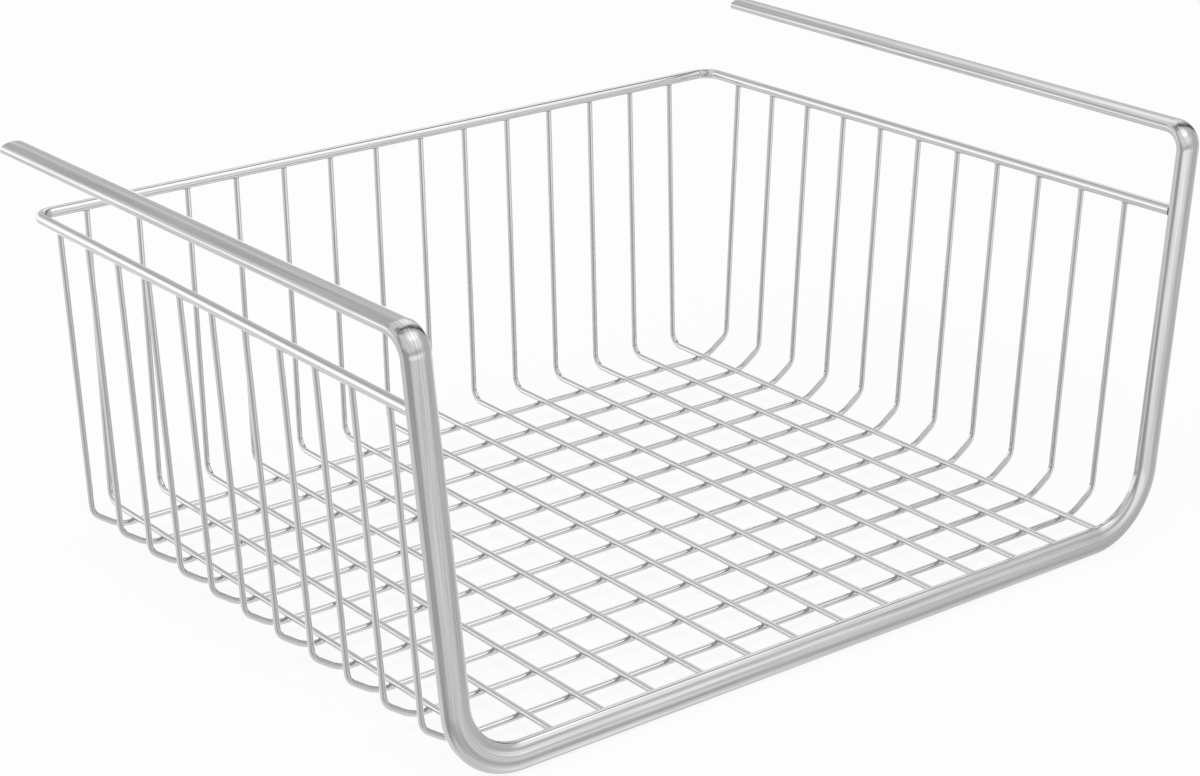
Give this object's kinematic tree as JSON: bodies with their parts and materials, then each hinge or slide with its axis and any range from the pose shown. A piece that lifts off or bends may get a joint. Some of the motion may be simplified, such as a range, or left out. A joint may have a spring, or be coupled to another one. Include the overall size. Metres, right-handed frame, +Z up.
{
  "type": "under shelf basket",
  "caption": "Open-front chrome wire basket that hangs under a shelf by the two flat arms of its front frame.",
  "frame": {"origin": "foot of the front frame's bottom bar, middle of the plan", "axes": "+X to the right, +Y from the open front to the back wall, +Z up"},
  "size_m": [0.4184, 0.3102, 0.1893],
  "materials": {
    "chrome_plate": "polished chrome plate on steel wire and flat band"
  },
  "bodies": {
    "root": {"front_frame": "chrome_plate", "rim_wire": "chrome_plate", "cross_wire_01": "chrome_plate", "cross_wire_02": "chrome_plate", "cross_wire_03": "chrome_plate", "cross_wire_04": "chrome_plate", "cross_wire_05": "chrome_plate", "cross_wire_06": "chrome_plate", "cross_wire_07": "chrome_plate", "cross_wire_08": "chrome_plate", "cross_wire_09": "chrome_plate", "cross_wire_10": "chrome_plate", "cross_wire_11": "chrome_plate", "long_wire_01": "chrome_plate", "long_wire_02": "chrome_plate", "long_wire_03": "chrome_plate", "long_wire_04": "chrome_plate", "long_wire_05": "chrome_plate", "long_wire_06": "chrome_plate", "long_wire_07": "chrome_plate", "long_wire_08": "chrome_plate", "long_wire_09": "chrome_plate", "long_wire_10": "chrome_plate", "long_wire_11": "chrome_plate", "long_wire_12": "chrome_plate", "long_wire_13": "chrome_plate", "long_wire_14": "chrome_plate"}
  },
  "joints": []
}
